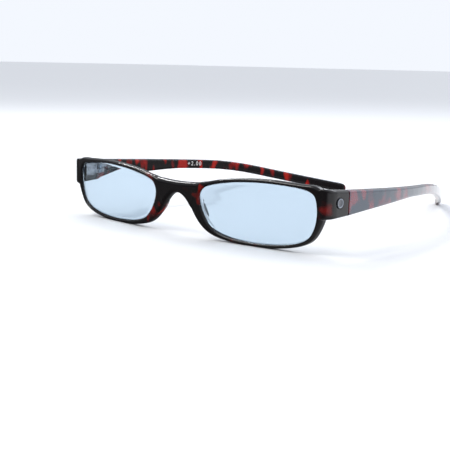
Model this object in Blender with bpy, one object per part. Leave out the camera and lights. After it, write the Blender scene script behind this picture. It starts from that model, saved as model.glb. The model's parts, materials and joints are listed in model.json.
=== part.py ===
"""Folding reading glasses: a moulded front with two lenses, and two temples on sprung hinges.

The glasses stand on their rims and temple tips. The front faces -Y, the temples run back along +Y
and +Z is up. Left and right are the wearer's, so left is +X. The origin is the bottom centre of the
glasses' box. Sizes are in metres, written as millimetres times MM.
"""

import math

import bmesh
import bpy
from mathutils import Matrix, Vector

MM = 0.001

# ---- Front ------------------------------------------------------------------------------------
LENS_WIDTH = 50.9 * MM          # width of each lens opening
LENS_HEIGHT = 22.3 * MM         # height of each lens opening
NOSE_GAP = 23.0 * MM            # least distance between the two openings
LENS_BASE = 1.3 * MM            # height of the openings' lowest point
FRONT_RADIUS = 356.0 * MM       # the front bends round the face on this radius, seen from above
FRONT_LEAN = math.radians(2.3)  # the top of the front leans forward
RIM_DEPTH = 3.6 * MM            # thickness of the front from front to back
GROOVE_DEPTH = 0.8 * MM         # the groove that holds the lens
GROOVE_MIDDLE = 1.8 * MM        # the groove's middle, behind the front face
GROOVE_MOUTH = 1.6 * MM
GROOVE_FLOOR = 0.6 * MM
RIM_INNER_ROUND = 0.4 * MM      # radius of the rim's edge at the lens
RIM_OUTER_ROUND = 0.65 * MM
PAD_INNER_SLOPE = 0.25          # how far a nose pad's sides lean in, as a share of its height
PAD_OUTER_SLOPE = 0.45
PAD_STEP = 0.1 * MM             # keeps the pad's crest apart from the rim's inner edge
STEPS_PER_ANCHOR = 4
FOOT_FLAT = 0.1 * MM            # what the flat feet under the rims and tips take off their round

# The opening's outline: its place as a share of half the width and height, then the rim's width
# and how far a moulded nose pad stands out behind the rim there, both in millimetres.
OUTLINE = (
    (1.000, 0.350, 2.9, 0.0),
    (0.975, 0.680, 3.8, 0.0),
    (0.915, 0.835, 3.0, 0.0),
    (0.805, 0.920, 1.9, 0.0),
    (0.600, 0.972, 1.5, 0.0),
    (0.200, 1.000, 1.5, 0.0),
    (-0.200, 0.955, 1.5, 0.0),
    (-0.570, 0.850, 1.5, 0.0),
    (-0.830, 0.715, 1.6, 0.0),
    (-0.945, 0.580, 2.8, 0.2),
    (-0.995, 0.360, 4.0, 1.0),
    (-0.990, 0.100, 4.8, 2.4),
    (-0.930, -0.240, 4.2, 2.8),
    (-0.830, -0.560, 3.3, 1.5),
    (-0.690, -0.785, 2.3, 0.3),
    (-0.430, -0.945, 1.6, 0.0),
    (-0.030, -1.000, 1.4, 0.0),
    (0.330, -0.965, 1.4, 0.0),
    (0.620, -0.860, 1.4, 0.0),
    (0.800, -0.720, 1.4, 0.0),
    (0.900, -0.540, 1.5, 0.0),
    (0.965, -0.250, 1.8, 0.0),
    (0.995, 0.050, 2.4, 0.0),
)

# ---- Bridge and endpieces -----------------------------------------------------------------------
BRIDGE_TOP = 20.6 * MM          # height of the bridge's top edge at its middle
BRIDGE_UNDER = 16.1 * MM        # height of the arch over the nose
BRIDGE_RISE = 0.0046 / MM       # the top edge rises towards the rims as a parabola
BRIDGE_ARCH = 0.095 / MM        # the arch falls towards the rims as a parabola
BRIDGE_DEPTH = 4.2 * MM
BRIDGE_RUN = 3.6 * MM           # how far its ends run out along the rims' tops, past the openings' edges
BRIDGE_TIP_HEIGHT = 0.5 * MM    # height of those ends
BRIDGE_TAPER = 0.185 / MM       # the ends gain height towards the middle as a parabola
BRIDGE_END_DEPTH = 3.2 * MM     # less than the rim's depth, which hides the ends
BRIDGE_CORNER = 1.3 * MM

ENDPIECE_THICKNESS = 3.4 * MM   # also the temple's thickness at its butt
ENDPIECE_LENGTH = 11.93 * MM    # from the front's face at the opening's outer edge to the temple
ENDPIECE_CORNER = 4.5 * MM      # length over which the front turns back into the side
ENDPIECE_FRONT = 2.6 * MM       # how far the endpiece's front face stands out from the opening's edge
ENDPIECE_CROWN = 0.5 * MM       # extra height at the front, which meets the rim's corner
ENDPIECE_UNDER_SLOPE = 0.04     # the underside falls towards the front
ENDPIECE_ROUND = 0.9 * MM       # radius of its long edges
SIDE_OFFSET = 5.5 * MM          # from the opening's outer edge to the endpiece's outer side
PART_GAP = 0.3 * MM             # gap between pieces that touch

# ---- Lenses -------------------------------------------------------------------------------------
LENS_EDGE = 1.4 * MM            # thickness of the lens where it enters the rim
LENS_FRONT_DOME = 1.0 * MM      # the front surface bulges this far at the middle
LENS_BACK_DOME = 0.3 * MM       # and the back surface this far the same way, less
LENS_BEVEL_TIP = 0.2 * MM       # blunt end of the bevel round the lens
LENS_GAP = 0.35 * MM            # from the bevel to the groove's floor
LENS_RINGS = 4

# ---- Temples ------------------------------------------------------------------------------------
TEMPLE_REACH = 156.4 * MM       # the tips' place behind the front's middle
BUTT_TOP = 22.63 * MM           # height of the temple's top edge where it starts
BUTT_HEIGHT = 9.2 * MM
SHAFT_HEIGHT = 4.3 * MM
TIP_HEIGHT = 4.7 * MM
TAPER_LENGTH = 50.0 * MM        # from the butt to where the shaft has its own height
SHAFT_THICKNESS = 2.7 * MM
SHAFT_DROP = math.radians(3.4)  # the straight part falls this much
TEMPLE_ROUND = 0.85 * MM        # radius of the temple's long edges
TIP_END_SHARE = 0.35            # the round tip thins to this share of the thickness
TAPER_POWER = 1.3               # how fast the temple loses height behind the butt
EAR_BEND_AT = 96.5 * MM         # where the temple turns down behind the ear
EAR_BEND_LENGTH = 28.0 * MM
BOW_START = 34.0 * MM           # the temple is straight before this and bows inwards behind it
BOW_RADIUS = 192.0 * MM

# ---- Hinges -------------------------------------------------------------------------------------
PIN_INSET = 1.8 * MM            # from the temple's inner face to the hinge pin
HINGE_HEIGHT = 18.4 * MM
KNUCKLE_RADIUS = 1.35 * MM
KNUCKLE_LENGTH = 1.5 * MM
KNUCKLE_GAP = 0.2 * MM
SCREW_RADIUS = 0.55 * MM
SCREW_HEAD_RADIUS = 1.1 * MM
SCREW_HEAD_LENGTH = 0.6 * MM
SCREW_SLOT_WIDTH = 0.3 * MM
SCREW_SLOT_DEPTH = 0.25 * MM
SCREW_END = 0.1 * MM            # how far the screw's foot stands out under the lowest knuckle
RUNNING_CLEARANCE = 0.09 * MM
LEAF_THICKNESS = 1.0 * MM
LEAF_LENGTH = 5.4 * MM
ARM_ROOT = 0.8 * MM             # how far the knuckles' arms run into the leaf's plate
ARM_STEP = 0.1 * MM             # an arm or neck is this much thinner than its knuckle on each side
LEAF_PIN_RADIUS = 0.55 * MM
LEAF_PIN_LENGTH = 1.9 * MM
LEAF_PIN_SPACING = 2.7 * MM

# ---- Spring housings ----------------------------------------------------------------------------
HOUSING_START = 2.95 * MM       # from the hinge pin to the housing's front wall
HOUSING_LENGTH = 11.3 * MM
HOUSING_HEIGHT = 3.6 * MM
HOUSING_DEPTH = 2.7 * MM        # how far the housing stands in from the temple
HOUSING_WALL = 0.5 * MM
HOUSING_ROUND = 1.1 * MM
ROD_RADIUS = 0.4 * MM
NUT_RADIUS = 0.8 * MM
NUT_LENGTH = 0.8 * MM
NUT_TO_WALL = 0.6 * MM
ROD_PAST_NUT = 0.2 * MM
SPRING_RADIUS = 0.75 * MM       # to the middle of the wire
WIRE_RADIUS = 0.14 * MM
SPRING_TURNS = 7
SPRING_END_GAP = 0.15 * MM

# ---- Emblem dots --------------------------------------------------------------------------------
DOT_RADIUS = 1.7 * MM
DOT_THICKNESS = 0.6 * MM
DOT_POCKET = 0.4 * MM
DOT_FROM_END = 5.6 * MM         # in front of the endpiece's back face
DOT_HEIGHT = 18.6 * MM

ROUND_SIDES = 24

# Places that follow from the sizes above.
LENS_CENTRE_X = (NOSE_GAP + LENS_WIDTH) / 2
LENS_CENTRE_Z = LENS_BASE + LENS_HEIGHT / 2
OPENING_OUTER_X = NOSE_GAP / 2 + LENS_WIDTH
SIDE_X = OPENING_OUTER_X + SIDE_OFFSET
INNER_FACE_X = SIDE_X - ENDPIECE_THICKNESS
ENDPIECE_END = OPENING_OUTER_X ** 2 / (2 * FRONT_RADIUS) + ENDPIECE_LENGTH
TEMPLE_START = ENDPIECE_END + PART_GAP
BRIDGE_REACH = NOSE_GAP / 2 + BRIDGE_RUN
PIN_X = INNER_FACE_X - PIN_INSET
PIN_Y = ENDPIECE_END + PART_GAP / 2
HOUSING_Y = PIN_Y + HOUSING_START
SIDES = (("left", 1), ("right", -1))


# ---- Helpers ------------------------------------------------------------------------------------
def clear_scene():
    for old in list(bpy.data.objects):
        bpy.data.objects.remove(old, do_unlink=True)


def ease(share):
    """A smooth step from 0 to 1."""
    share = min(max(share, 0.0), 1.0)
    return share * share * (3 - 2 * share)


def plain_material(name, colour, roughness, metallic=0.0):
    """A Principled material with one colour."""
    material = bpy.data.materials.new(name)
    material.use_nodes = True
    shader = material.node_tree.nodes["Principled BSDF"]
    shader.inputs["Base Color"].default_value = (*colour, 1)
    shader.inputs["Roughness"].default_value = roughness
    shader.inputs["Metallic"].default_value = metallic
    return material


def object_from(name, bm):
    """Closes a bmesh into a new object, with its faces turned outwards."""
    bmesh.ops.recalc_face_normals(bm, faces=bm.faces)
    mesh = bpy.data.meshes.new(name)
    bm.to_mesh(mesh)
    bm.free()
    made = bpy.data.objects.new(name, mesh)
    bpy.context.scene.collection.objects.link(made)
    return made


def combine(base, tool, operation):
    """Joins or cuts base with a closed tool, which is used up."""
    modifier = base.modifiers.new("combine", "BOOLEAN")
    modifier.operation = operation
    modifier.solver = "EXACT"
    modifier.object = tool
    graph = bpy.context.evaluated_depsgraph_get()
    result = bpy.data.meshes.new_from_object(base.evaluated_get(graph))
    base.modifiers.remove(modifier)
    base.data = result
    bpy.data.objects.remove(tool, do_unlink=True)
    return base


def stack(bm, rings, closed_stack=False):
    """Bridges rings that have the same number of points, then caps the ends or closes the loop."""
    rows = [[bm.verts.new(point) for point in ring] for ring in rings]
    pairs = list(zip(rows, rows[1:]))
    if closed_stack:
        pairs.append((rows[-1], rows[0]))
    for low, high in pairs:
        for i in range(len(low)):
            j = (i + 1) % len(low)
            bm.faces.new((low[i], low[j], high[j], high[i]))
    if not closed_stack:
        bm.faces.new(rows[0])
        bm.faces.new(list(reversed(rows[-1])))
    return rows


def rounded_section(centre, across, up, half_width, half_height, corner, arc_steps=3):
    """Points round a rectangle with round corners, square to the across and up directions."""
    corner = min(corner, half_width * 0.98, half_height * 0.98)
    points = []
    for quarter in range(4):
        sign_a = (1, -1, -1, 1)[quarter]
        sign_u = (1, 1, -1, -1)[quarter]
        for step in range(arc_steps):
            angle = math.pi / 2 * (quarter + step / (arc_steps - 1))
            a = sign_a * (half_width - corner) + corner * math.cos(angle)
            u = sign_u * (half_height - corner) + corner * math.sin(angle)
            points.append(centre + across * a + up * u)
    return points


def cylinder(name, centre, axis, radius, length, sides=ROUND_SIDES):
    """A closed cylinder, centred, along an axis."""
    bm = bmesh.new()
    turn = Vector((0, 0, 1)).rotation_difference(Vector(axis)).to_matrix().to_4x4()
    place = Matrix.Translation(centre) @ turn
    bmesh.ops.create_cone(bm, cap_ends=True, segments=sides, radius1=radius, radius2=radius,
                          depth=length, matrix=place)
    return object_from(name, bm)


def box(name, low, high):
    """A closed box between two corners."""
    bm = bmesh.new()
    low, high = Vector(low), Vector(high)
    size = Matrix.Diagonal((*(high - low), 1))
    bmesh.ops.create_cube(bm, size=1, matrix=Matrix.Translation((low + high) / 2) @ size)
    return object_from(name, bm)


def finish(made, material, parent, smooth_angle=35):
    """Gives a piece its material, and moves its origin to its parent empty."""
    made.data.materials.clear()
    made.data.materials.append(material)
    made.data.transform(Matrix.Translation(-Vector(parent["place"])))
    made.parent = parent
    made.data.shade_smooth()
    made.data.set_sharp_from_angle(angle=math.radians(smooth_angle))
    return made


def empty(name, place, parent=None):
    made = bpy.data.objects.new(name, None)
    made.empty_display_size = 5 * MM
    made["place"] = tuple(place)
    made.location = Vector(place) - Vector(parent["place"] if parent else (0, 0, 0))
    made.parent = parent
    bpy.context.scene.collection.objects.link(made)
    return made


def mirror_points(points, side):
    return [Vector((p.x * side, p.y, p.z)) for p in points]


# ---- The lens opening's outline -----------------------------------------------------------------
def on_front(x, depth, z):
    """A point so far behind the front's face, on the bent and leaning front."""
    return Vector((x, x * x / (2 * FRONT_RADIUS) + depth - math.tan(FRONT_LEAN) * (z - LENS_CENTRE_Z), z))


def spline(values, t):
    """One smooth step between the middle two of four values (Catmull-Rom)."""
    a, b, c, d = values
    square, cube = 2 * a - 5 * b + 4 * c - d, 3 * b - a - 3 * c + d
    return 0.5 * (2 * b + (c - a) * t + square * t * t + cube * t ** 3)


def outline():
    """(x, z, outward x, outward z, rim width, pad) round the left opening, on a flat front."""
    count = len(OUTLINE)
    anchors = [(LENS_CENTRE_X + u * LENS_WIDTH / 2, LENS_CENTRE_Z + v * LENS_HEIGHT / 2, rim * MM, pad * MM)
               for u, v, rim, pad in OUTLINE]
    samples = []
    for i in range(count):
        near = [anchors[(i + k) % count] for k in (-1, 0, 1, 2)]
        for step in range(STEPS_PER_ANCHOR):
            t = step / STEPS_PER_ANCHOR
            samples.append(tuple(spline([point[k] for point in near], t) for k in range(4)))
    rows = []
    for i, (x, z, rim, pad) in enumerate(samples):
        before, after = samples[i - 1], samples[(i + 1) % len(samples)]
        along = Vector((after[0] - before[0], after[1] - before[1])).normalized()
        rows.append((x, z, along.y, -along.x, rim, max(pad, 0.0)))
    return rows


def rim_profile(rim, pad):
    """(outwards from the opening, behind the face) round the rim's cut face."""
    mouth, floor = GROOVE_MOUTH / 2, GROOVE_FLOOR / 2
    edge, corner = RIM_INNER_ROUND, RIM_OUTER_ROUND
    return (
        (0.0, edge),
        (0.0, GROOVE_MIDDLE - mouth),
        (GROOVE_DEPTH, GROOVE_MIDDLE - floor),
        (GROOVE_DEPTH, GROOVE_MIDDLE + floor),
        (0.0, GROOVE_MIDDLE + mouth),
        (0.0, RIM_DEPTH - edge),
        (edge, RIM_DEPTH),
        (edge + PAD_INNER_SLOPE * pad + PAD_STEP, RIM_DEPTH + pad),
        (rim - corner - PAD_OUTER_SLOPE * pad, RIM_DEPTH + pad),
        (rim, RIM_DEPTH - corner),
        (rim, corner),
        (rim - corner, 0.0),
        (edge, 0.0),
    )


def rim(name, side):
    bm = bmesh.new()
    rings = []
    for x, z, out_x, out_z, width, pad in outline():
        ring = [on_front(x + out_x * w, depth, z + out_z * w) for w, depth in rim_profile(width, pad)]
        rings.append(mirror_points(ring, side))
    stack(bm, rings, closed_stack=True)
    return object_from(name, bm)


# ---- The front ----------------------------------------------------------------------------------
def bridge():
    """The bar between the rims. Its underside arches over the nose and its ends follow the rims' tops."""
    bm = bmesh.new()
    stations = 20
    rings = []
    for i in range(stations + 1):
        x = BRIDGE_REACH * (2 * i / stations - 1)
        top = BRIDGE_TOP + BRIDGE_RISE * x * x
        arch = BRIDGE_UNDER - BRIDGE_ARCH * x * x
        under = max(arch, top - BRIDGE_TIP_HEIGHT - BRIDGE_TAPER * (BRIDGE_REACH - abs(x)) ** 2)
        depth = BRIDGE_DEPTH + (BRIDGE_END_DEPTH - BRIDGE_DEPTH) * ease(2 * abs(x) / BRIDGE_REACH - 1)
        behind = (RIM_DEPTH - BRIDGE_END_DEPTH) / 2 * ease(2 * abs(x) / BRIDGE_REACH - 1)
        middle = on_front(x, behind + depth / 2, (top + under) / 2)
        rings.append(rounded_section(middle, Vector((0, 1, 0)), Vector((0, 0, 1)),
                                     depth / 2, (top - under) / 2, BRIDGE_CORNER))
    stack(bm, rings)
    return object_from("bridge", bm)


def endpiece(side):
    """The corner where the front turns back along the side of the head, as far as the hinge."""
    bm = bmesh.new()
    front_y = on_front(OPENING_OUTER_X, 0, LENS_CENTRE_Z).y
    inner_start = OPENING_OUTER_X + GROOVE_DEPTH + 0.4 * MM
    rings = []
    shares = (0.0, 0.08, 0.2, 0.4, 0.65, 1.0)
    for share in shares:
        y = front_y + share * ENDPIECE_CORNER
        outer = SIDE_X - (SIDE_OFFSET - ENDPIECE_FRONT) * (1 - math.sqrt(share * (2 - share)))
        inner = inner_start + (INNER_FACE_X - inner_start) * max(0.0, share - 0.6) / 0.4
        rings.append(endpiece_section(inner, outer, y, side))
    rings.append(endpiece_section(INNER_FACE_X, SIDE_X, ENDPIECE_END, side))
    stack(bm, rings)
    return object_from("endpiece", bm)


def temple_top(y):
    """Height of the straight top edge that the endpiece and the temple share."""
    return BUTT_TOP - math.tan(SHAFT_DROP) * (y - TEMPLE_START)


def endpiece_section(inner, outer, y, side):
    top = temple_top(y) + ENDPIECE_CROWN * (1 - ease(y / ENDPIECE_END))
    low = BUTT_TOP - BUTT_HEIGHT - ENDPIECE_UNDER_SLOPE * (TEMPLE_START - y)
    middle = Vector(((inner + outer) / 2 * side, y, (top + low) / 2))
    return rounded_section(middle, Vector((1, 0, 0)), Vector((0, 0, 1)),
                           (outer - inner) / 2, (top - low) / 2, ENDPIECE_ROUND)


def front_frame(name):
    """Rims, bridge, nose pads and endpieces are one moulding."""
    front = combine(rim(name, 1), rim("other rim", -1), "UNION")
    front = combine(front, bridge(), "UNION")
    for _, side in SIDES:
        front = combine(front, endpiece(side), "UNION")
        pocket = cylinder("pocket", dot_place(side), (1, 0, 0), DOT_RADIUS + PART_GAP, 2 * DOT_POCKET)
        front = combine(front, pocket, "DIFFERENCE")
        for place in leaf_pin_places(side):
            hole = cylinder("hole", place, (1, 0, 0), LEAF_PIN_RADIUS + PART_GAP / 2,
                            2 * (LEAF_PIN_LENGTH - LEAF_THICKNESS), 12)
            front = combine(front, hole, "DIFFERENCE")
    return combine(front, below_floor(), "DIFFERENCE")


def below_floor():
    """Everything under the plane that the glasses stand on."""
    return box("below_floor", (-0.2, -0.1, -0.05), (0.2, 0.3, 0))


def lens(name, side):
    """A meniscus lens with a bevel that sits in the rim's groove."""
    rows = outline()
    body, tip = PART_GAP, GROOVE_DEPTH - LENS_GAP
    edge, blunt = LENS_EDGE / 2, LENS_BEVEL_TIP / 2
    rings = []

    def ring(offset, share, depth):
        points = []
        for x, z, out_x, out_z, _, _ in rows:
            edge_x, edge_z = x + out_x * offset, z + out_z * offset
            flat_x = LENS_CENTRE_X + (edge_x - LENS_CENTRE_X) * share
            flat_z = LENS_CENTRE_Z + (edge_z - LENS_CENTRE_Z) * share
            points.append(on_front(flat_x, depth, flat_z))
        return mirror_points(points, side)

    for step in range(1, LENS_RINGS + 1):
        share = step / LENS_RINGS
        dome = LENS_FRONT_DOME * (1 - share * share)
        rings.append(ring(-body, share, GROOVE_MIDDLE - edge - dome))
    rings.append(ring(tip, 1, GROOVE_MIDDLE - blunt))
    rings.append(ring(tip, 1, GROOVE_MIDDLE + blunt))
    for step in range(LENS_RINGS, 0, -1):
        share = step / LENS_RINGS
        dome = LENS_BACK_DOME * (1 - share * share)
        rings.append(ring(-body, share, GROOVE_MIDDLE + edge - dome))
    bm = bmesh.new()
    stacked = stack(bm, rings)
    centres = ((stacked[0], GROOVE_MIDDLE - edge - LENS_FRONT_DOME),
               (stacked[-1], GROOVE_MIDDLE + edge - LENS_BACK_DOME))
    for row, depth in centres:
        cap = next(face for face in bm.faces if len(face.verts) == len(row) and set(face.verts) == set(row))
        middle = bmesh.ops.poke(bm, faces=[cap])["verts"][0]
        middle.co = mirror_points([on_front(LENS_CENTRE_X, depth, LENS_CENTRE_Z)], side)[0]
    return object_from(name, bm)


# ---- Temples ------------------------------------------------------------------------------------
def ear_slope():
    """The slope behind the ear that brings the tip down to the floor."""
    tip = TEMPLE_REACH - TIP_HEIGHT / 2
    drop = temple_top(tip) - TIP_HEIGHT + FOOT_FLAT
    return math.tan(SHAFT_DROP) + drop / (tip - EAR_BEND_AT)


def temple_line(y):
    """(middle of the thickness in x, top edge in z, slope of the top edge) at a place along Y."""
    x = INNER_FACE_X + ENDPIECE_THICKNESS / 2 - max(0.0, y - BOW_START) ** 2 / (2 * BOW_RADIUS)
    first = math.tan(SHAFT_DROP)
    last = ear_slope()
    share = (y - EAR_BEND_AT + EAR_BEND_LENGTH / 2) / EAR_BEND_LENGTH
    bent = min(max(share, 0.0), 1.0)
    slope = first + (last - first) * bent
    extra = (last - first) * EAR_BEND_LENGTH * bent * bent / 2
    past = max(0.0, y - EAR_BEND_AT - EAR_BEND_LENGTH / 2) * (last - first)
    return x, temple_top(y) - extra - past, slope


def temple_size(y):
    """(thickness, height) of the temple at a place along Y."""
    share = min((y - TEMPLE_START) / TAPER_LENGTH, 1.0)
    height = SHAFT_HEIGHT + (BUTT_HEIGHT - SHAFT_HEIGHT) * (1 - share) ** TAPER_POWER
    height += (TIP_HEIGHT - SHAFT_HEIGHT) * ease((y - EAR_BEND_AT) / (TEMPLE_REACH - EAR_BEND_AT))
    thin = ease((y - BOW_START) / TAPER_LENGTH)
    return ENDPIECE_THICKNESS + (SHAFT_THICKNESS - ENDPIECE_THICKNESS) * thin, height


def temple_stations():
    """Places along Y: closer together at the ear bend, and closest at the round tip."""
    places = [TEMPLE_START + (BOW_START - TEMPLE_START) * i / 3 for i in range(3)]
    bend_start = EAR_BEND_AT - EAR_BEND_LENGTH / 2
    bend_end = EAR_BEND_AT + EAR_BEND_LENGTH / 2
    places += [BOW_START + (bend_start - BOW_START) * i / 9 for i in range(9)]
    places += [bend_start + EAR_BEND_LENGTH * i / 4 for i in range(4)]
    tip = TEMPLE_REACH - TIP_HEIGHT / 2
    places += [bend_end + (tip - bend_end) * i / 7 for i in range(7)]
    places += [tip + TIP_HEIGHT / 2 * math.sin(math.radians(a)) for a in (0, 25, 45, 62, 76, 86)]
    return places


def temple(name, side):
    """A tapering bar with round edges, bowed inwards, with a bend behind the ear."""
    rings = []
    tip = TEMPLE_REACH - TIP_HEIGHT / 2
    for y in temple_stations():
        x, top, slope = temple_line(y)
        thickness, height = temple_size(y)
        bow = max(0.0, y - BOW_START) / BOW_RADIUS
        across = Vector((1, bow, 0)).normalized()
        up = Vector((0, slope - math.tan(SHAFT_DROP), 1)).normalized()
        centre = Vector((x, y, top)) - up * height / 2
        round_end = math.sqrt(max(0.0, 1 - (max(0.0, y - tip) / (TIP_HEIGHT / 2)) ** 2))
        thinner = TIP_END_SHARE + (1 - TIP_END_SHARE) * round_end
        ring = rounded_section(centre, across, up, thickness / 2 * thinner,
                               height / 2 * max(round_end, 0.08), TEMPLE_ROUND * thinner)
        rings.append(mirror_points(ring, side))
    bm = bmesh.new()
    stack(bm, rings)
    return combine(object_from(name, bm), below_floor(), "DIFFERENCE")


# ---- Hinges -------------------------------------------------------------------------------------
def pin_place(side, height=HINGE_HEIGHT):
    return Vector((PIN_X * side, PIN_Y, height))


def dot_place(side):
    return Vector((SIDE_X * side, ENDPIECE_END - DOT_FROM_END, DOT_HEIGHT))


def leaf_span():
    """(start, end) along Y of the leaf's plate, clear of the centre knuckle."""
    end = PIN_Y - KNUCKLE_RADIUS - PART_GAP
    return end - LEAF_LENGTH, end


def leaf_pin_places(side):
    start, end = leaf_span()
    middle = (start + end) / 2
    return [Vector((INNER_FACE_X * side, middle + k * LEAF_PIN_SPACING / 2, HINGE_HEIGHT)) for k in (-1, 1)]


def outer_knuckle_height(level):
    """Middle of the upper (1) or lower (-1) knuckle of the front leaf."""
    return HINGE_HEIGHT + level * (KNUCKLE_LENGTH + KNUCKLE_GAP)


def pin_bore(made, side):
    bore = cylinder("bore", pin_place(side), (0, 0, 1), SCREW_RADIUS + RUNNING_CLEARANCE, 20 * MM)
    return combine(made, bore, "DIFFERENCE")


def hinge_leaf(name, side):
    """A plate on the endpiece's inner face, with an arm and a knuckle above and below."""
    start, end = leaf_span()
    reach = 1.5 * KNUCKLE_LENGTH + KNUCKLE_GAP
    outer = INNER_FACE_X - PART_GAP
    inner = outer - LEAF_THICKNESS
    plate = box(name, (min(inner * side, outer * side), start, HINGE_HEIGHT - reach),
                (max(inner * side, outer * side), end, HINGE_HEIGHT + reach))
    for level in (-1, 1):
        z = outer_knuckle_height(level)
        half = KNUCKLE_LENGTH / 2 - ARM_STEP
        arm = box("arm", (min(PIN_X * side, outer * side), end - ARM_ROOT, z - half),
                  (max(PIN_X * side, outer * side), PIN_Y, z + half))
        plate = combine(plate, arm, "UNION")
        knuckle = cylinder("knuckle", pin_place(side, z), (0, 0, 1), KNUCKLE_RADIUS, KNUCKLE_LENGTH)
        plate = combine(plate, knuckle, "UNION")
    plate = pin_bore(plate, side)
    for place in leaf_pin_places(side):
        hole = cylinder("hole", place, (1, 0, 0), LEAF_PIN_RADIUS + RUNNING_CLEARANCE, 10 * MM, 12)
        plate = combine(plate, hole, "DIFFERENCE")
    return plate


def leaf_pin(name, side, place):
    """A staked pin, from the leaf's inner face into the endpiece."""
    inner = INNER_FACE_X - PART_GAP - LEAF_THICKNESS
    centre = Vector(((inner + LEAF_PIN_LENGTH / 2) * side, place.y, place.z))
    return cylinder(name, centre, (1, 0, 0), LEAF_PIN_RADIUS, LEAF_PIN_LENGTH, 12)


def hinge_screw(name, side):
    """The screw that is the hinge's pin, with a slotted head on top."""
    top = outer_knuckle_height(1) + KNUCKLE_LENGTH / 2 + RUNNING_CLEARANCE
    foot = outer_knuckle_height(-1) - KNUCKLE_LENGTH / 2
    shank = cylinder(name, pin_place(side, (top + foot) / 2), (0, 0, 1), SCREW_RADIUS,
                     top - foot + 2 * SCREW_END)
    head = cylinder("head", pin_place(side, top + SCREW_HEAD_LENGTH / 2), (0, 0, 1),
                    SCREW_HEAD_RADIUS, SCREW_HEAD_LENGTH)
    screw = combine(shank, head, "UNION")
    middle = pin_place(side, top + SCREW_HEAD_LENGTH)
    slot = Vector((2 * SCREW_HEAD_RADIUS, SCREW_SLOT_WIDTH / 2, SCREW_SLOT_DEPTH))
    return combine(screw, box("slot", middle - slot, middle + slot), "DIFFERENCE")


def rod_x():
    """The rod's place in the middle of the housing's channel."""
    return INNER_FACE_X - PART_GAP - (HOUSING_DEPTH - HOUSING_WALL) / 2


def nut_end():
    """The nut keeps clear of the housing's back wall."""
    return HOUSING_Y + HOUSING_LENGTH - HOUSING_WALL - NUT_TO_WALL


def hinge_slider(name, side):
    """The centre knuckle, its neck and the rod that runs into the spring housing."""
    neck_end = HOUSING_Y - PART_GAP
    half = KNUCKLE_LENGTH / 2 - ARM_STEP
    low_x, high_x = PIN_X - KNUCKLE_RADIUS * 0.5, rod_x() + half
    slider = cylinder(name, pin_place(side), (0, 0, 1), KNUCKLE_RADIUS, KNUCKLE_LENGTH)
    neck = box("neck", (min(low_x * side, high_x * side), PIN_Y, HINGE_HEIGHT - half),
               (max(low_x * side, high_x * side), neck_end, HINGE_HEIGHT + half))
    slider = combine(slider, neck, "UNION")
    slider = pin_bore(slider, side)
    rod_start, rod_end = neck_end - half, nut_end() + ROD_PAST_NUT
    rod = cylinder("rod", (rod_x() * side, (rod_start + rod_end) / 2, HINGE_HEIGHT), (0, 1, 0),
                   ROD_RADIUS, rod_end - rod_start, 12)
    return combine(slider, rod, "UNION")


def rod_nut(name, side):
    """The round nut that holds the spring on the rod."""
    centre = Vector((rod_x() * side, nut_end() - NUT_LENGTH / 2, HINGE_HEIGHT))
    nut = cylinder(name, centre, (0, 1, 0), NUT_RADIUS, NUT_LENGTH, 12)
    bore = cylinder("bore", centre, (0, 1, 0), ROD_RADIUS + RUNNING_CLEARANCE, 3 * NUT_LENGTH, 12)
    return combine(nut, bore, "DIFFERENCE")


def flex_spring(name, side):
    """The coil spring between the housing's front wall and the nut."""
    start = HOUSING_Y + HOUSING_WALL + WIRE_RADIUS + SPRING_END_GAP
    end = nut_end() - NUT_LENGTH - WIRE_RADIUS - SPRING_END_GAP
    steps = SPRING_TURNS * 10
    curve = bpy.data.curves.new(name, "CURVE")
    curve.dimensions = "3D"
    curve.bevel_depth = WIRE_RADIUS
    curve.bevel_resolution = 1
    curve.use_fill_caps = True
    path = curve.splines.new("POLY")
    path.points.add(steps)
    for i, point in enumerate(path.points):
        angle = 2 * math.pi * SPRING_TURNS * i / steps
        point.co = (SPRING_RADIUS * math.cos(angle), start + (end - start) * i / steps,
                    SPRING_RADIUS * math.sin(angle), 1)
    coil = bpy.data.objects.new(name, curve)
    bpy.context.scene.collection.objects.link(coil)
    graph = bpy.context.evaluated_depsgraph_get()
    mesh = bpy.data.meshes.new_from_object(coil.evaluated_get(graph))
    bpy.data.objects.remove(coil, do_unlink=True)
    mesh.transform(Matrix.Translation((rod_x() * side, 0, HINGE_HEIGHT)))
    bm = bmesh.new()
    bm.from_mesh(mesh)
    bmesh.ops.remove_doubles(bm, verts=bm.verts, dist=1e-6)
    return object_from(name, bm)


def spring_housing(name, side):
    """A metal channel with closed ends, open towards the temple, with a hole for the rod."""
    outer = INNER_FACE_X - PART_GAP
    inner = outer - HOUSING_DEPTH
    end = HOUSING_Y + HOUSING_LENGTH
    half = HOUSING_HEIGHT / 2
    shell = housing_block(name, side, inner, outer, HOUSING_Y, end, half, HOUSING_ROUND)
    wall = HOUSING_WALL
    channel = housing_block("channel", side, inner + wall, outer + wall, HOUSING_Y + wall, end - wall,
                            half - wall, HOUSING_ROUND - wall)
    shell = combine(shell, channel, "DIFFERENCE")
    hole = cylinder("hole", (rod_x() * side, HOUSING_Y, HINGE_HEIGHT), (0, 1, 0),
                    ROD_RADIUS + PART_GAP / 2, 3 * wall, 12)
    return combine(shell, hole, "DIFFERENCE")


def housing_block(name, side, inner, outer, start, end, half, corner):
    """A bar along Y whose two edges away from the temple are round."""
    profile = [(outer, half)]
    for angle in (0, 30, 60, 90):
        turn = math.radians(angle)
        profile.append((inner + corner * (1 - math.sin(turn)), half - corner * (1 - math.cos(turn))))
    profile += [(x, -z) for x, z in reversed(profile)]
    bm = bmesh.new()
    rings = [[Vector((x * side, y, HINGE_HEIGHT + z)) for x, z in profile] for y in (start, end)]
    stack(bm, rings)
    return object_from(name, bm)


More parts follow.
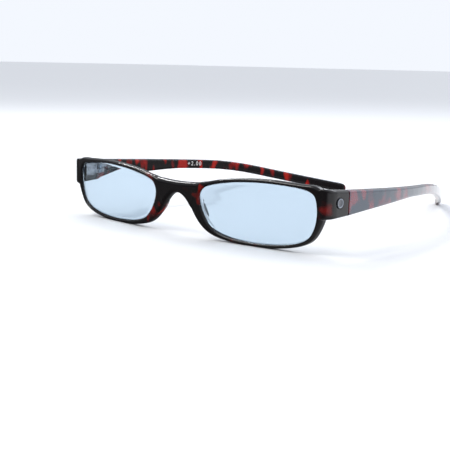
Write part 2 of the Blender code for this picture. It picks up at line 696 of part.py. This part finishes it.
def emblem_dot(name, side):
    """A plain round inlay in the endpiece's pocket."""
    centre = dot_place(side) + Vector((side * (DOT_THICKNESS / 2 - DOT_POCKET + PART_GAP / 2), 0, 0))
    return cylinder(name, centre, (1, 0, 0), DOT_RADIUS, DOT_THICKNESS, 24)


# ---- The whole ----------------------------------------------------------------------------------
def stand_on_origin(root):
    """Moves the glasses so that their box's bottom centre is the origin."""
    bpy.context.view_layer.update()
    corners = [made.matrix_world @ Vector(corner) for made in bpy.data.objects if made.type == "MESH"
               for corner in made.bound_box]
    ys = [corner.y for corner in corners]
    root.location.y -= (min(ys) + max(ys)) / 2


def build():
    clear_scene()
    tortoise = plain_material("tortoise_front", (0.035, 0.010, 0.008), 0.18)
    clear = plain_material("clear_lens", (0.75, 0.83, 0.9), 0.05)
    steel = plain_material("hinge_steel", (0.55, 0.55, 0.57), 0.3, 1.0)
    bright = plain_material("bright_housing", (0.8, 0.8, 0.8), 0.2, 1.0)
    spring_wire = plain_material("spring_wire", (0.4, 0.4, 0.42), 0.35, 1.0)
    ink = plain_material("emblem_grey", (0.12, 0.12, 0.14), 0.3, 0.6)

    glasses = empty("glasses", (0, 0, 0))
    finish(front_frame("front_frame"), tortoise, glasses)
    for word, side in SIDES:
        finish(lens("lens_" + word, side), clear, glasses, 60)
        finish(hinge_leaf("hinge_leaf_" + word, side), steel, glasses)
        finish(hinge_screw("hinge_screw_" + word, side), steel, glasses)
        for end, place in zip(("front", "back"), leaf_pin_places(side)):
            finish(leaf_pin(f"leaf_pin_{end}_{word}", side, place), steel, glasses)
        finish(emblem_dot("emblem_dot_" + word, side), ink, glasses)
        axis = empty("fold_axis_" + word, pin_place(side), glasses)
        finish(hinge_slider("hinge_slider_" + word, side), steel, axis)
        finish(rod_nut("rod_nut_" + word, side), steel, axis)
        finish(temple("temple_" + word, side), tortoise, axis)
        finish(spring_housing("spring_housing_" + word, side), bright, axis)
        finish(flex_spring("flex_spring_" + word, side), spring_wire, axis)
    stand_on_origin(glasses)


build()
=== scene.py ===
# %% [markdown]
# # Folding reading glasses
# Each step below makes one piece or one finish. The engineering solids come in first as a fixed frame,
# in metres, and every new piece takes its place from them. Left is the wearer's left, at +X, and the
# front faces -Y.

# %% Load the frame and keep its size
import json
import math
import bpy
from mathutils import Matrix, Vector

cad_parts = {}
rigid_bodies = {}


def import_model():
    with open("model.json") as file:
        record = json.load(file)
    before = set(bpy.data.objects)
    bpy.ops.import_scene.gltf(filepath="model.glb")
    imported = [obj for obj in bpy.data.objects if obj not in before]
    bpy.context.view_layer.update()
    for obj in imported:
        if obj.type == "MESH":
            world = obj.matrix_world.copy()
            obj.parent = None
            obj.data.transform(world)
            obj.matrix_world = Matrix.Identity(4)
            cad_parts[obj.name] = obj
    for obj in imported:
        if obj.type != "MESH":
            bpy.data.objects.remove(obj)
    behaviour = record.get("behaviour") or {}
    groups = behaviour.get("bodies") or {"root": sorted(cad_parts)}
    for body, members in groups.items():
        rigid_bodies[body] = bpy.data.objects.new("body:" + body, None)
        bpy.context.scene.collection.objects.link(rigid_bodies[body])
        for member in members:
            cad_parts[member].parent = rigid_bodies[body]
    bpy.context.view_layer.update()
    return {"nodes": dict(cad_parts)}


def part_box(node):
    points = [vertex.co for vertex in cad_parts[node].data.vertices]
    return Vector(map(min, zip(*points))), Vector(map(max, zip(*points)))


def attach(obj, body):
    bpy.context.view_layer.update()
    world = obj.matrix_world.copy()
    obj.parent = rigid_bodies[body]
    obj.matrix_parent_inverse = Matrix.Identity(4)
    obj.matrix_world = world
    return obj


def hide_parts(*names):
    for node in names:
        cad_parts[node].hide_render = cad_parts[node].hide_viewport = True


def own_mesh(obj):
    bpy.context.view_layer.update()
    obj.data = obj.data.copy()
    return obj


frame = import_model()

MM = 0.001
SIDES = (("left", 1), ("right", -1))
for obj in bpy.data.objects:
    obj.select_set(False)
print("frame nodes:", len(frame["nodes"]))

# %% [markdown]
# ## Small helpers
# Blender's operators act on what is selected and active, so one helper selects a single object. A
# second adds a modifier and applies it, and a third puts an object's place into its mesh. The last one
# copies an engineering solid, whose triangles are loose until they are merged.

# %% Helpers for objects
MERGE = 0.002 * MM       # corners closer than this are the same corner


def pick(obj):
    """Makes obj the only selected object, and the active one."""
    bpy.ops.object.select_all(action="DESELECT")
    obj.select_set(True)
    bpy.context.view_layer.objects.active = obj
    return obj


def apply_modifier(obj, kind, **settings):
    """Adds a modifier with its settings and applies it."""
    pick(obj)
    modifier = obj.modifiers.new(kind.lower(), kind)
    for key, value in settings.items():
        setattr(modifier, key, value)
    bpy.ops.object.modifier_apply(modifier=modifier.name)


def settle(obj):
    """Puts the object's place, turn and size into its mesh, so that the object sits at the origin."""
    pick(obj)
    bpy.ops.object.transform_apply(location=True, rotation=True, scale=True)
    return obj


def solid_copy(node, name):
    """A copy of a CAD node, picked, with its loose triangles merged into one surface."""
    made = bpy.data.objects.new(name, frame["nodes"][node].data.copy())
    bpy.context.scene.collection.objects.link(made)
    made.data.materials.clear()
    pick(made)
    bpy.ops.object.mode_set(mode="EDIT")
    bpy.ops.mesh.select_all(action="SELECT")
    bpy.ops.mesh.remove_doubles(threshold=MERGE)
    bpy.ops.mesh.customdata_custom_splitnormals_clear()
    bpy.ops.mesh.normals_make_consistent(inside=False)
    bpy.ops.object.mode_set(mode="OBJECT")
    return made


print("corners merge within", MERGE / MM, "mm")

# %% [markdown]
# ## How a new piece joins the object
# A new piece gets its material, moves with one body of the frame and hides the solid that it stands for.
# Those three always go together, so one helper does them.

# %% Helper for stand-ins
def stand_in(made, node, body, material):
    """The new piece takes a node's place, body and finish."""
    made.data.materials.append(material)
    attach(made, body)
    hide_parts(node)
    print(made.name, "has", len(made.data.polygons), "faces")


# %% [markdown]
# ## Materials: how nodes are added
# Colours are written as sRGB hex values, the way a designer would note them down, and one function turns
# them into the linear numbers that Blender mixes light with. Another adds any node, sets it and links it.

# %% Helpers for materials
def linear(code, alpha=1.0):
    """The linear colour of an sRGB hex value."""
    channels = [int(code[i:i + 2], 16) / 255 for i in (1, 3, 5)]
    return (*[c / 12.92 if c <= 0.04045 else ((c + 0.055) / 1.055) ** 2.4 for c in channels], alpha)


def add(tree, kind, links=(), **settings):
    """Adds a node. Settings name its options, or its inputs by number as in_0, and links feed its inputs."""
    node = tree.nodes.new("ShaderNode" + kind)
    for key, value in settings.items():
        if key.startswith("in_"):
            node.inputs[int(key[3:])].default_value = value
        else:
            setattr(node, key, value)
    for socket, source in dict(links).items():
        tree.links.new(source, node.inputs[socket])
    return node


def principled(name, **values):
    """A new material whose Principled shader has these fixed values, by socket name with _ for a space."""
    material = bpy.data.materials.new(name)
    material.use_nodes = True
    shader = material.node_tree.nodes["Principled BSDF"]
    for key, value in values.items():
        shader.inputs[key.replace("_", " ")].default_value = value
    return material, material.node_tree, shader


def ramp(tree, source, stops):
    """A colour ramp from (position, hex colour) stops."""
    node = add(tree, "ValToRGB", {0: source})
    elements = node.color_ramp.elements
    while len(elements) < len(stops):
        elements.new(1.0)
    for element, (place, shade) in zip(elements, stops):
        element.position = place
        element.color = linear(shade)
    return node.outputs[0]


print("mid grey in linear numbers:", round(linear("#808080")[0], 3))

# %% [markdown]
# ## Tortoiseshell plastic
# The front and the temples are injection-moulded polycarbonate, dyed to look like tortoiseshell: dark
# brown that is nearly black, with soft-edged blotches where a clear red shows. One noise bends the
# coordinates of a second, so that no blotch is round, and a ramp turns the result into the colours with
# a narrow edge. The dye lies inside the plastic, so the surface over it stays smooth, and a faint swell
# left by moulding is all that bends its reflections.

# %% Tortoiseshell plastic
WAVINESS = 7.0 * MM      # spacing of the swell
SWELL = 0.02 * MM        # and its height
BEND = 0.9               # the first noise moves the second by up to this share of a blotch
NEARLY_BLACK = ("#040204", "#080304")
RED_STEPS = (0.025, 0.07, 0.14)    # from a blotch's edge inwards, in noise values


def tortoise_plastic(name, shift, blotch, least, reds, tall=1.0, spots=(), **gloss):
    """blotch is the size of one blotch and the dark next to it, and least the noise value above which
    the red shows. With tall under 1 the blotches are taller than wide. Each spot, with a place, a
    radius and an amount, makes the red show more there: a painted glow of light passing through
    thick plastic."""
    material, tree, shader = principled(
        name, Subsurface_Scale=0.8 * MM, Subsurface_Radius=(1.0, 0.12, 0.06), **gloss)
    place = add(tree, "TexCoord").outputs["Object"]
    moved = add(tree, "Mapping", {0: place}, in_1=shift, in_3=(1.0, 1.0, tall)).outputs[0]
    bend = add(tree, "TexNoise", {0: moved}, in_2=1 / blotch, in_3=1.5).outputs["Color"]
    centred = add(tree, "VectorMath", {0: bend}, operation="SUBTRACT", in_1=(0.5, 0.5, 0.5)).outputs[0]
    scaled = add(tree, "VectorMath", {0: centred}, operation="SCALE", in_3=BEND * blotch).outputs[0]
    bent = add(tree, "VectorMath", {0: moved, 1: scaled}, operation="ADD").outputs[0]
    amount = add(tree, "TexNoise", {0: bent}, in_2=1 / blotch, in_3=1.0).outputs["Fac"]
    for spot, radius, strength in spots:
        away = add(tree, "VectorMath", {0: place}, operation="DISTANCE", in_1=spot).outputs["Value"]
        extra = add(tree, "MapRange", {0: away}, in_1=0.0, in_2=radius, in_3=strength, in_4=0.0).outputs[0]
        amount = add(tree, "Math", {0: amount, 1: extra}, operation="ADD").outputs[0]
    edges = [0.0, least, *[least + step for step in RED_STEPS], 1.0]
    dye = ramp(tree, amount, list(zip(edges, (*NEARLY_BLACK, *reds))))
    tree.links.new(dye, shader.inputs["Base Color"])
    ripple = add(tree, "TexNoise", {0: place}, in_2=1 / WAVINESS, in_3=1.0)
    bump = add(tree, "Bump", {"Height": ripple.outputs["Fac"]}, in_0=0.3, in_1=SWELL)
    for socket in ("Normal", "Coat Normal"):
        tree.links.new(bump.outputs[0], shader.inputs[socket])
    return material


# %% [markdown]
# ## The plastic's three materials
# The front is tumbled in polishing chips: glossy, so that it shows sharp highlights on a dark body, with
# its red mostly at the bridge, one nose pad and one endpiece, where a painted glow stands for light
# passing through the thick plastic. The outside of the temples has a painted blue-grey sheen: a strong
# reflection tinted blue, over deeper reds. Their inside is the same plastic without that sheen and with
# brighter reds, so nothing covers the red there, and it looks strongest.

# %% The plastic's materials, with painted sheen and glow
REDS = ("#260405", "#6E0A07", "#A0160A", "#C02C14")
DEEP_REDS = ("#1C0303", "#4C0705", "#760F09", "#92200F")
FRONT_BLOTCH, TEMPLE_BLOTCH = 9 * MM, 5.5 * MM
FRONT_SHIFT, TEMPLE_SHIFT = (0.004, 0.0, 0.0), (0.031, 0.012, 0.004)    # parts of one endless pattern
# Painted glow: each spot adds red where light passes through the thick plastic, over the dye pattern.
PAINTED_GLOW_SPOTS = (
    ((64.0 * MM, -73.0 * MM, 16.5 * MM), 6 * MM, 0.26),    # the left rim's outer side
    ((68.0 * MM, -70.5 * MM, 18.0 * MM), 5 * MM, 0.36),    # the left endpiece
    ((8.0 * MM, -78.0 * MM, 16.5 * MM), 8 * MM, 0.32),     # the bridge
    ((-9.5 * MM, -75.0 * MM, 9.5 * MM), 9 * MM, 0.30),     # the right nose pad
)
tortoise_front = tortoise_plastic(
    "polycarbonate_tortoise_tumbled", FRONT_SHIFT, FRONT_BLOTCH, 0.64, DEEP_REDS, 1.0, PAINTED_GLOW_SPOTS,
    IOR=1.5, Roughness=0.10, Specular_IOR_Level=0.30, Coat_Weight=0.30, Coat_Roughness=0.02,
    Subsurface_Weight=0.05)
# Painted blue-grey sheen for the outward temple faces: a strong reflection tinted blue, over deeper reds.
tortoise_painted_sheen = tortoise_plastic(
    "polycarbonate_tortoise_painted_sheen", TEMPLE_SHIFT, TEMPLE_BLOTCH, 0.49, DEEP_REDS, 0.7,
    IOR=1.585, Roughness=0.14, Specular_IOR_Level=1.0, Specular_Tint=linear("#A9C6E8"),
    Coat_Weight=0.9, Coat_Roughness=0.03, Subsurface_Weight=0.08)
# The same plastic for the inward faces, without the painted sheen and with brighter reds.
tortoise_without_sheen = tortoise_plastic(
    "polycarbonate_tortoise_without_sheen", TEMPLE_SHIFT, TEMPLE_BLOTCH, 0.50, REDS, 0.5,
    IOR=1.5, Roughness=0.18, Specular_IOR_Level=0.22, Subsurface_Weight=0.08)
print("plastic:", tortoise_front.name, tortoise_painted_sheen.name, tortoise_without_sheen.name)

# %% [markdown]
# ## The front
# The rims, bridge, nose pads and endpieces leave the mould as one piece, with soft edges and no seams.
# It could be rebuilt by hand with a subdivision surface, but the engineering solid already has the true
# shape in flat facets. So a copy is remeshed into small even cells and smoothed. Swelling it and
# shrinking it back fills its inside corners, as a mould maker's fillets do. A plain smooth shrinks thin
# rims, so each pass is followed by one that swells it back.

# %% The front, smoothed
CELL = 0.26 * MM         # of the remeshed surface
FILLET = 0.20 * MM       # inside corners are filled to this
SMOOTH_IN, SMOOTH_OUT, PASSES = 0.60, -0.62, 12
LAST_SMOOTH = 0.5


def remesh(made):
    apply_modifier(made, "REMESH", mode="VOXEL", voxel_size=CELL, adaptivity=0.0)


def moulded(node, name, fillet):
    """A copy of a node with its inside corners filled, smoothed without shrinking."""
    made = solid_copy(node, name)
    remesh(made)
    if fillet:
        for way in (1, -1):
            apply_modifier(made, "DISPLACE", strength=way * fillet, mid_level=0.0)
            remesh(made)
    for _ in range(PASSES):
        for factor in (SMOOTH_IN, SMOOTH_OUT):
            apply_modifier(made, "SMOOTH", factor=factor, iterations=1)
    apply_modifier(made, "SMOOTH", factor=LAST_SMOOTH, iterations=2)
    pick(made)
    bpy.ops.object.shade_smooth()
    return made


front = moulded("front_frame", "moulded_front", FILLET)
stand_in(front, "front_frame", "front", tortoise_front)

# %% [markdown]
# ## The temples
# Each temple is moulded in the same plastic, and gets the same treatment. It has no inside corners to
# fill. The material with the painted sheen goes on all of it, and then the faces that point inwards
# take the copy without that sheen.

# %% The temples, smoothed
POINTS_INWARDS = -0.5    # of a face's direction along X, times the side
temples = {}
for word, side in SIDES:
    temple = temples[word] = moulded("temple_" + word, "moulded_temple_" + word, 0.0)
    stand_in(temple, "temple_" + word, "temple_" + word, tortoise_painted_sheen)
    temple.data.materials.append(tortoise_without_sheen)
    # Only the outward faces keep the painted sheen; the inward ones take the copy without it.
    for face in temple.data.polygons:
        face.material_index = int(face.normal.x * side < POINTS_INWARDS)
    print("inward faces:", sum(face.material_index for face in temple.data.polygons))

# %% [markdown]
# ## The strength mark
# Reading glasses carry their strength inside one temple, printed in white. It could be painted with a
# mask, but small letters come out sharper as a shape. The number is a text turned into a mesh. A ray
# cast onto the temple finds the surface and its direction there, and the mark is laid on it, standing a
# few hundredths of a millimetre proud like thick ink. It leans with the temple, which falls to the back.

# %% The strength mark
MARK_Y, MARK_Z = -3.5 * MM, 17.3 * MM
MARK_SIZE = 2.7 * MM
INK = 0.05 * MM
TEMPLE_FALL = math.radians(3.4)
_, spot, facing, _ = temples["right"].ray_cast(Vector((0, MARK_Y, MARK_Z)), Vector((-1, 0, 0)))
along = Vector((0, 0, 1)).cross(facing).normalized()
along = (along - Vector((0, 0, math.tan(TEMPLE_FALL)))).normalized()
upright = facing.cross(along).normalized()
bpy.ops.object.text_add(location=(0, 0, 0))
mark = bpy.context.active_object
mark.name = "strength_mark"
mark.data.body = "+2.00"
mark.data.size = MARK_SIZE
mark.data.space_character = 1.35
mark.data.extrude = INK
mark.data.align_x = "CENTER"
mark.data.align_y = "CENTER"
pick(mark)
bpy.ops.object.convert(target="MESH")
mark.matrix_world = Matrix.Translation(spot) @ Matrix((along, upright, facing)).transposed().to_4x4()
settle(mark)
# Pad-printed ink dries matt, so the number stays readable from any side.
white_ink, _, _ = principled("pad_printed_white_ink", Base_Color=linear("#E9E7E4"), Roughness=0.55)
mark.data.materials.append(white_ink)
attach(mark, "temple_right")
print("mark at", [round(v / MM, 1) for v in spot])

# %% [markdown]
# ## The lenses
# Reading lenses are cast acrylic with a hard coating, which gives a faint blue cast. The light passes
# two polished surfaces, so any unevenness shows as a ripple behind the lens. A copy of the solid lens
# has its triangles joined into rings of four-sided faces, because only those subdivide evenly. The
# sharp bevel round the edge is creased, and everything inside it becomes one smooth curve.

# %% The lenses
NEARLY_FLAT = math.radians(20)     # triangles that meet flatter than this join
BEVEL_CORNER = math.radians(25)    # edges sharper than this belong to the bevel
# Clear acrylic bends light, and the pale blue of the coating deepens a little where it passes twice.
lens_acrylic, _, _ = principled(
    "acrylic_cast_hard_coated", Base_Color=linear("#C4D5E2"), Transmission_Weight=1.0, IOR=1.49,
    Roughness=0.0)
for word, _ in SIDES:
    lens = solid_copy("lens_" + word, "reading_lens_" + word)
    bpy.ops.object.mode_set(mode="EDIT")
    bpy.ops.mesh.select_all(action="SELECT")
    bpy.ops.mesh.tris_convert_to_quads(face_threshold=NEARLY_FLAT, shape_threshold=math.pi)
    bpy.ops.mesh.select_all(action="DESELECT")
    bpy.ops.mesh.edges_select_sharp(sharpness=BEVEL_CORNER)
    bpy.ops.transform.edge_crease(value=1.0)
    bpy.ops.object.mode_set(mode="OBJECT")
    apply_modifier(lens, "SUBSURF", levels=2, render_levels=2)
    bpy.ops.object.shade_smooth_by_angle(angle=math.radians(40))
    stand_in(lens, "lens_" + word, "front", lens_acrylic)

# %% [markdown]
# ## Metals
# Metals show mostly what stands around them, so their roughness does the work. Hinge leaves, screws and
# knuckles are steel, tumbled until their scratches run all ways: grey with a soft shine. The springs
# are drawn wire, a little darker. The housings are nickel plated, which is the brightest, with the lines
# left by drawing along Y. The inlays are satin zinc. The lines are really a few hundredths of a
# millimetre apart, and are drawn about ten times coarser so that they show.

# %% Metals
EVENLY, ALONG_Y = (1.0, 1.0, 1.0), (1.0, 0.12, 1.0)


def metal(name, code, roughness, line, stretch):
    """line is the spacing of the scratches, and stretch draws them out along an axis."""
    material, tree, shader = principled(name, Base_Color=linear(code), Metallic=1.0)
    place = add(tree, "TexCoord").outputs["Object"]
    lines = add(tree, "Mapping", {0: place}, in_3=stretch).outputs[0]
    grain = add(tree, "TexNoise", {0: lines}, in_2=1 / line, in_3=3.0).outputs["Fac"]
    rough = add(tree, "MapRange", {0: grain}, in_1=0.3, in_2=0.7,
                in_3=roughness * 0.7, in_4=roughness * 1.4)
    tree.links.new(rough.outputs[0], shader.inputs["Roughness"])
    bump = add(tree, "Bump", {"Height": grain}, in_0=0.15, in_1=0.02 * MM)
    tree.links.new(bump.outputs[0], shader.inputs["Normal"])
    return material


hinge_steel = metal("steel_tumbled", "#C2C2C6", 0.28, 0.30 * MM, EVENLY)
spring_steel = metal("steel_wire_drawn", "#8C8C90", 0.30, 0.20 * MM, EVENLY)
plated = metal("nickel_plate_drawn", "#F2F1EE", 0.20, 0.25 * MM, ALONG_Y)
inlay_metal = metal("zinc_satin", "#8E939C", 0.32, 0.20 * MM, EVENLY)
print("metals:", hinge_steel.name, spring_steel.name, plated.name, inlay_metal.name)

# %% [markdown]
# ## Hinge hardware
# The leaf, the knuckles, the screw and the spring housing are stamped, turned or drawn, then tumbled,
# which rounds every edge a little. A copy of each solid has its flat triangles joined into whole faces
# and its edges bevelled, so that they catch the light as a thin line. The nut is hidden in its housing
# and keeps its plain solid, in the same steel.

# %% Hinge hardware with tumbled edges
EDGE = 0.07 * MM


def tumbled(node, name, edge):
    """A copy of a node with whole faces and rounded edges."""
    made = solid_copy(node, name)
    bpy.ops.object.mode_set(mode="EDIT")
    bpy.ops.mesh.select_all(action="SELECT")
    bpy.ops.mesh.dissolve_limited(angle_limit=math.radians(1))
    bpy.ops.object.mode_set(mode="OBJECT")
    apply_modifier(made, "BEVEL", width=edge, segments=2, limit_method="ANGLE",
                   angle_limit=math.radians(40), use_clamp_overlap=True)
    bpy.ops.object.shade_smooth_by_angle(angle=math.radians(30))
    return made


HARDWARE = (
    ("hinge_leaf", "front", "hinge_steel", hinge_steel, EDGE),
    ("hinge_screw", "front", "hinge_steel", hinge_steel, EDGE),
    ("leaf_pin_front", "front", "hinge_steel", hinge_steel, EDGE),
    ("leaf_pin_back", "front", "hinge_steel", hinge_steel, EDGE),
    ("hinge_slider", "slider", "hinge_steel", hinge_steel, EDGE),
    ("spring_housing", "temple", "housing_metal", plated, 1.5 * EDGE),
)
for stem, body, slot, material, edge in HARDWARE:
    for word, _ in SIDES:
        piece = tumbled(f"{stem}_{word}", f"tumbled_{stem}_{word}", edge)
        stand_in(piece, f"{stem}_{word}", body if body == "front" else f"{body}_{word}", material)
for word, _ in SIDES:
    frame["nodes"]["rod_nut_" + word].material_slots[0].material = hinge_steel

# %% [markdown]
# ## The flex springs
# A coil of drawn wire lies in each housing round the slider's rod. When the temple is pushed outwards,
# the housing moves back over the rod and squeezes the coil against the nut by 0.8 mm. The coil rides
# with the temple.

# %% The flex springs
ROUND_WIRE = math.radians(60)      # triangles of the wire that meet flatter than this join
for word, _ in SIDES:
    coil = solid_copy("flex_spring_" + word, "coil_spring_" + word)
    bpy.ops.object.mode_set(mode="EDIT")
    bpy.ops.mesh.select_all(action="SELECT")
    bpy.ops.mesh.tris_convert_to_quads(face_threshold=ROUND_WIRE, shape_threshold=math.pi)
    bpy.ops.object.mode_set(mode="OBJECT")
    apply_modifier(coil, "SUBSURF", levels=1, render_levels=1)
    bpy.ops.object.shade_smooth_by_angle(angle=math.radians(50))
    stand_in(coil, "flex_spring_" + word, "temple_" + word, spring_steel)
    low, high = (Vector(corner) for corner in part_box("flex_spring_" + word))
    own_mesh(coil)

# %% [markdown]
# ## The inlays' enamel
# The middle of each inlay is filled with grey enamel and fired. It melts into a glassy pool with a very
# fine unevenness, known as orange peel, which breaks its highlight up a little.

# %% The inlays' enamel
PEEL = 0.6 * MM
enamel, tree, shader = principled(
    "enamel_grey_fired", Base_Color=linear("#3A3F4A"), Roughness=0.2, Coat_Weight=0.6)
orange_peel = add(tree, "TexNoise", {0: add(tree, "TexCoord").outputs["Object"]}, in_2=1 / PEEL, in_3=2.0)
peel_bump = add(tree, "Bump", {"Height": orange_peel.outputs["Fac"]}, in_0=0.4, in_1=0.02 * MM)
tree.links.new(peel_bump.outputs[0], shader.inputs["Normal"])
print("enamel:", enamel.name)

# %% [markdown]
# ## The inlays
# A round inlay is pressed into each endpiece: a satin zinc ring round the enamelled middle. It starts
# as a cylinder with many sides. Two insets on its outer face make the ring and the step down to the
# middle, which keeps all of it one closed piece, and a small bevel takes the sharpness off the ring.

# %% The inlays
RING_WIDTH = 0.35 * MM
STEP_WIDTH, STEP_DEPTH = 0.10 * MM, 0.12 * MM
RING_EDGE = 0.05 * MM
for word, side in SIDES:
    low, high = (Vector(corner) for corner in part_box("emblem_dot_" + word))
    bpy.ops.mesh.primitive_cylinder_add(
        vertices=64, radius=(high.z - low.z) / 2, depth=high.x - low.x, location=(low + high) / 2,
        rotation=(0, math.pi / 2, 0))
    dot = settle(bpy.context.active_object)
    dot.name = "ring_inlay_" + word
    dot.data.materials.clear()
    bpy.ops.object.mode_set(mode="EDIT")
    bpy.ops.mesh.select_mode(type="FACE")
    bpy.ops.mesh.select_all(action="DESELECT")
    bpy.ops.object.mode_set(mode="OBJECT")
    for face in dot.data.polygons:
        face.select = face.normal.x * side > 0.9
    bpy.ops.object.mode_set(mode="EDIT")
    bpy.ops.mesh.inset(thickness=RING_WIDTH)
    bpy.ops.mesh.inset(thickness=STEP_WIDTH, depth=-STEP_DEPTH)
    bpy.ops.object.mode_set(mode="OBJECT")
    stand_in(dot, "emblem_dot_" + word, "front", inlay_metal)
    dot.data.materials.append(enamel)
    middle = max((face for face in dot.data.polygons if face.select), key=lambda face: face.area)
    middle.material_index = 1
    apply_modifier(dot, "BEVEL", width=RING_EDGE, segments=2, limit_method="ANGLE",
                   angle_limit=math.radians(40))
    bpy.ops.object.shade_smooth_by_angle(angle=math.radians(30))

# %% [markdown]
# ## The floor
# The glasses stand on white paper, a hair below their lowest points so that nothing flickers. Plastic
# this dark shows whatever it mirrors, and a studio stands a white card behind it and a dark one before
# it. The same is done here: mirrored, the paper is bright on the far side and dark on the near side,
# and looked at directly or through a lens it is plain white.

# %% The floor
FLOOR_SIZE = 40.0
BELOW = 0.02 * MM
TOWARDS_CARD = Vector((0.66, 0.75, 0.0))    # the white card stands this way
CARD_EDGE = 0.06                            # bright and dark meet within this, on each side
DARK_CARD, WHITE_CARD = 0.10, 0.95
PAPER = "#F4F5F7"
bpy.ops.mesh.primitive_plane_add(size=FLOOR_SIZE, location=(0, 0, -BELOW))
floor = bpy.context.active_object
floor.name = "floor"
floor_paper, tree, shader = principled("paper_white_matt", Roughness=0.6)
away = add(tree, "VectorMath", {0: add(tree, "TexCoord").outputs["Object"]}, operation="DOT_PRODUCT",
           in_1=TOWARDS_CARD).outputs["Value"]
mirrored = add(tree, "MapRange", {0: away}, in_1=-CARD_EDGE, in_2=CARD_EDGE,
               in_3=DARK_CARD, in_4=WHITE_CARD).outputs[0]
ray = add(tree, "LightPath").outputs
glossy = add(tree, "Math", {0: ray["Is Glossy Ray"], 1: ray["Is Transmission Ray"]}, operation="SUBTRACT",
             use_clamp=True).outputs[0]
grey = add(tree, "CombineColor", {channel: mirrored for channel in range(3)}).outputs[0]
shade = add(tree, "Mix", {0: glossy, 7: grey}, data_type="RGBA", in_6=linear(PAPER))
tree.links.new(shade.outputs["Result"], shader.inputs["Base Color"])
floor.data.materials.append(floor_paper)
print("floor at", BELOW / MM, "mm below the glasses")

# %% [markdown]
# ## The room
# What is seen directly, or through a lens, is white paper here too. What the plastic mirrors is the room
# itself: bright overhead, dim near the horizon, and bright again towards the white card. That keeps the
# plastic dark and its gloss sharp.

# %% The room
WHITE_PAPER = 1.0
HORIZON, OVERHEAD, CARD = 0.12, 0.80, 0.9
world = bpy.data.worlds.new("studio")
world.use_nodes = True
tree = world.node_tree
background = tree.nodes["Background"]
background.inputs[0].default_value = linear("#F4F8FF")
direction = add(tree, "TexCoord").outputs["Generated"]
height = add(tree, "SeparateXYZ", {0: direction}).outputs[2]
room = add(tree, "MapRange", {0: height}, in_1=0.0, in_2=0.6, in_3=HORIZON, in_4=OVERHEAD).outputs[0]
facing_card = add(tree, "VectorMath", {0: direction}, operation="DOT_PRODUCT", in_1=TOWARDS_CARD)
card = add(tree, "MapRange", {0: facing_card.outputs["Value"]}, in_1=0.2, in_2=0.9, in_3=0.0, in_4=CARD)
room = add(tree, "Math", {0: room, 1: card.outputs[0]}, operation="ADD").outputs[0]
ray = add(tree, "LightPath").outputs
seen = add(tree, "Math", {0: ray["Is Camera Ray"], 1: ray["Is Transmission Ray"]}, operation="MAXIMUM")
strength = add(tree, "Mix", {0: seen.outputs[0], 2: room}, in_3=WHITE_PAPER)
tree.links.new(strength.outputs[0], background.inputs[1])
bpy.context.scene.world = world
bpy.context.scene.view_settings.view_transform = "Standard"
print("room from", HORIZON, "to", OVERHEAD)

# %% [markdown]
# ## The lights
# Three softboxes give the soft shadow and draw the bright lines. The key stands high at the front, the
# wide one behind the tips, and a narrow strip at the side, whose reflection runs as a thin white line
# along the top of the bridge and rims.

# %% The lights
def softbox(name, place, width, height, power, colour):
    """A rectangular area light that faces the origin. Its place and size are in metres."""
    light = bpy.data.lights.new(name, "AREA")
    light.shape = "RECTANGLE"
    light.size, light.size_y, light.energy = width, height, power
    light.color = linear(colour)[:3]
    made = bpy.data.objects.new(name, light)
    made.location = place
    made.rotation_euler = (-Vector(place)).to_track_quat("-Z", "Y").to_euler()
    bpy.context.scene.collection.objects.link(made)
    print(name, power, "W")


softbox("key", (-0.35, -0.45, 0.75), 0.5, 0.35, 3.0, "#FFFDF8")
softbox("back", (0.1, 0.8, 0.75), 0.9, 0.3, 2.2, "#F2F7FF")
softbox("strip", (-0.55, 0.20, 0.60), 0.45, 0.05, 2.0, "#FFFFFF")

# %% [markdown]
# ## The camera
# The camera stands in front of the glasses on their left side, a little above them, and looks down by
# about ten degrees. Its matrix is built from where it looks and which way is up, because three angles
# would be harder to read.

# %% The camera
CAMERA_AT = Vector((249.524, -333.29, 65.32)) * MM
LOOK = Vector((-0.650047, 0.740695, -0.169732))
UP = Vector((-0.128493, 0.113004, 0.985251))
FOCAL_LENGTH, SENSOR = 74.84, 36.0
camera_data = bpy.data.cameras.new("camera")
camera_data.lens = FOCAL_LENGTH
camera_data.sensor_width = SENSOR
camera_data.clip_start = 0.01
camera = bpy.data.objects.new("camera", camera_data)
right = LOOK.cross(UP).normalized()
up = right.cross(LOOK).normalized()
turn = Matrix((right, up, -LOOK)).transposed()
camera.matrix_world = Matrix.Translation(CAMERA_AT) @ turn.to_4x4()
bpy.context.scene.collection.objects.link(camera)
bpy.context.scene.camera = camera
print("camera", round(CAMERA_AT.length, 3), "m away")
